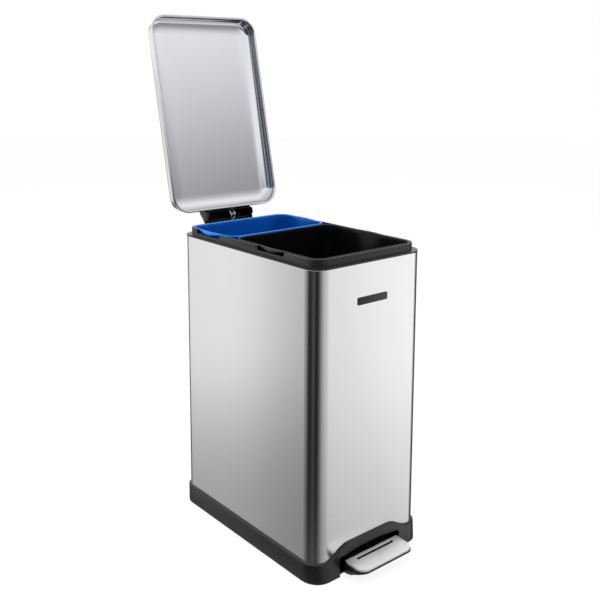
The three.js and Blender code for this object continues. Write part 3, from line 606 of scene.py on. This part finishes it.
# Where the ceiling's light starts with a crisp edge, and how far up that edge is moved.
CRISP_SECTORS = [
    (-179.9, 1), (-66, 1), (-58, 0), (-30, 0), (-18, 1), (22, 1), (34, 0), (160, 0), (179.9, 1),
]
CRISP_SHIFT = [
    (-179.9, 0.06), (-160, 0.06), (-100, 0.055), (-66, 0.045), (-58, 0.0), (-30, 0.0), (-18, 0.15),
    (22, 0.15), (34, 0.0), (160, 0.0), (179.9, 0.06),
]
LEFTWARD_SECTORS = [(-179.9, 1), (-134, 1), (-126, 0), (60, 0), (90, 1), (179.9, 1)]
# Stops of height and light: 0 is straight down, 0.5 the horizon and 1 straight up.
SOFT_CEILING = [(0.5, 0.0), (0.582, 0.03), (0.7, 0.95), (0.8, 0.66), (1.0, 0.52)]
CRISP_CEILING = [(0.56, 0.0), (0.582, 1.0), (0.75, 0.7), (1.0, 0.55)]
LEFT_FADE = [(0.0, 0.3), (0.24, 0.4), (0.272, 0.45), (0.3, 0.66), (0.33, 1.0), (1.0, 1.0)]
FRONT_FADE = [(0.0, 0.1), (0.2, 0.35), (0.24, 0.58), (0.285, 0.8), (0.33, 1.0), (1.0, 1.0)]
FLOOR_GLOW = [(0.0, 0.34), (0.15, 0.3), (0.235, 0.0), (1.0, 0.0)]
HORIZON = [(0.485, 0.0), (0.51, 1.0)]
CEILING_COLOUR = (0.85, 0.86, 0.88, 1)
ROOM_STRENGTH = 1.25


def studio_world():
    """Soft studio light that depends on direction, behind a white backdrop."""
    world = bpy.data.worlds.new("studio")
    bpy.context.scene.world = world
    world.use_nodes = True
    shader = Shader(world.node_tree)
    direction = shader.add("ShaderNodeTexCoord").outputs["Generated"]
    axes = shader.add("ShaderNodeSeparateXYZ", in_Vector=direction).outputs
    turn = shader.maths("ARCTAN2", axes[1], axes[0])
    around = shader.maths("MULTIPLY_ADD", turn, 1 / (2 * math.pi), 0.5)
    height = shader.maths("MULTIPLY_ADD", axes[2], 0.5, 0.5)

    soft = shader.ramp(height, SOFT_CEILING, "EASE")
    edge = shader.maths("SUBTRACT", height, shader.ramp(around, compass(CRISP_SHIFT)))
    crisp = shader.ramp(edge, CRISP_CEILING, "EASE")
    ceiling = blend(shader, shader.ramp(around, compass(CRISP_SECTORS)), soft, crisp)
    upper = blend(shader, ceiling, shader.ramp(around, compass(ABOVE)), CEILING_COLOUR)

    left = shader.ramp(height, LEFT_FADE)
    front = shader.ramp(height, FRONT_FADE)
    fade = blend(shader, shader.ramp(around, compass(LEFTWARD_SECTORS)), front, left)
    lower = blend(shader, 1.0, shader.ramp(around, compass(BELOW)), fade, "MULTIPLY")
    lit = blend(shader, 1.0, lower, shader.ramp(height, FLOOR_GLOW), "ADD")

    both = blend(shader, shader.ramp(height, HORIZON, "EASE"), lit, upper)
    room = shader.add("ShaderNodeBackground", in_Color=both, in_Strength=ROOM_STRENGTH)
    backdrop = shader.add("ShaderNodeBackground", in_Color=(1, 1, 1, 1), in_Strength=1.0)
    seen = shader.add("ShaderNodeLightPath").outputs["Is Camera Ray"]
    mixed = shader.add("ShaderNodeMixShader", in_0=seen, in_1=room.outputs[0], in_2=backdrop.outputs[0])
    output = shader.add("ShaderNodeOutputWorld")
    shader.tree.links.new(mixed.outputs[0], output.inputs[0])


def softbox(name, place, target, size, power):
    data = bpy.data.lights.new(name, "AREA")
    data.shape = "RECTANGLE"
    data.size, data.size_y = size
    data.energy = power
    lamp = bpy.data.objects.new(name, data)
    bpy.context.scene.collection.objects.link(lamp)
    lamp.location = place
    lamp.rotation_mode = "QUATERNION"
    lamp.rotation_quaternion = (Vector(target) - Vector(place)).to_track_quat("-Z", "Y")
    lamp.visible_glossy = False


# Metres, sides of the disc, and the share of plain white in what the camera sees of it.
FLOOR_RADIUS, FLOOR_STEPS, FLOOR_WHITE = 9.0, 96, 0.88


def studio_floor():
    """A pale paper disc that shows white to the camera and keeps a little of the object's shadow."""
    work = bmesh.new()
    angles = [2 * math.pi * i / FLOOR_STEPS for i in range(FLOOR_STEPS)]
    places = [(FLOOR_RADIUS * math.cos(angle), FLOOR_RADIUS * math.sin(angle), 0) for angle in angles]
    work.faces.new([work.verts.new(place) for place in places])
    mesh = bpy.data.meshes.new("studio_floor")
    work.to_mesh(mesh)
    work.free()
    floor = new_piece("studio_floor", mesh)
    material = bpy.data.materials.new("paper_sweep")
    material.use_nodes = True
    shader = Shader(material.node_tree)
    mottle = shader.noise(shader.stretched((1, 1, 1)), 3.0)
    pulp = tinted(shader, mottle, (0.955, 0.955, 0.955), (0.965, 0.965, 0.965))
    paper = shader.add("ShaderNodeBsdfDiffuse", in_Color=pulp)
    bright = shader.add("ShaderNodeEmission", in_Color=(1, 1, 1, 1), in_Strength=1.0)
    seen = shader.add("ShaderNodeLightPath").outputs["Is Camera Ray"]
    share = shader.maths("MULTIPLY", seen, FLOOR_WHITE)
    mixed = shader.add("ShaderNodeMixShader", in_0=share, in_1=paper.outputs[0], in_2=bright.outputs[0])
    output = shader.add("ShaderNodeOutputMaterial")
    shader.tree.links.new(mixed.outputs[0], output.inputs[0])
    floor.data.materials.append(material)
    floor.visible_glossy = False


studio_world()
studio_floor()
softbox("overhead", (0.1, -0.3, 3.2), (0, 0, 0.3), (3.0, 3.0), 95)
softbox("front_right", (2.2, -2.4, 1.9), (0, 0, 0.4), (1.8, 1.8), 40)
softbox("left", (-2.6, 0.9, 1.7), (0, 0, 0.4), (1.8, 1.8), 30)


# ---------- camera ----------

# Degrees, metres, and pixels of the 600 x 600 frame.
CAMERA_AZIMUTH, CAMERA_ELEVATION, CAMERA_ROLL = -39.687, 9.0, -0.175
CAMERA_PLACE = (-1.01928, -1.2211, 0.89418)
IMAGE_SIZE, SENSOR_WIDTH = 600, 36
FOCAL_PIXELS, CENTRE_X, CENTRE_Y = 850.954, 295.021, 199.65


def place_camera():
    azimuth, elevation, roll = map(math.radians, (CAMERA_AZIMUTH, CAMERA_ELEVATION, CAMERA_ROLL))
    back = Vector((
        math.sin(azimuth) * math.cos(elevation),
        -math.cos(azimuth) * math.cos(elevation),
        math.sin(elevation),
    ))
    right = Vector((math.cos(azimuth), math.sin(azimuth), 0))
    up = back.cross(right)
    tilted_right = right * math.cos(roll) - up * math.sin(roll)
    tilted_up = right * math.sin(roll) + up * math.cos(roll)
    data = bpy.data.cameras.new("camera")
    camera = bpy.data.objects.new("camera", data)
    bpy.context.scene.collection.objects.link(camera)
    turn = Matrix((tilted_right, tilted_up, back)).transposed().to_4x4()
    camera.matrix_world = Matrix.Translation(CAMERA_PLACE) @ turn
    data.sensor_width = SENSOR_WIDTH
    data.lens = FOCAL_PIXELS / IMAGE_SIZE * SENSOR_WIDTH
    data.shift_x = (IMAGE_SIZE / 2 - CENTRE_X) / IMAGE_SIZE
    data.shift_y = (CENTRE_Y - IMAGE_SIZE / 2) / IMAGE_SIZE
    data.clip_start, data.clip_end = 0.05, 60
    bpy.context.scene.camera = camera


place_camera()
bpy.context.scene.view_settings.view_transform = "Standard"
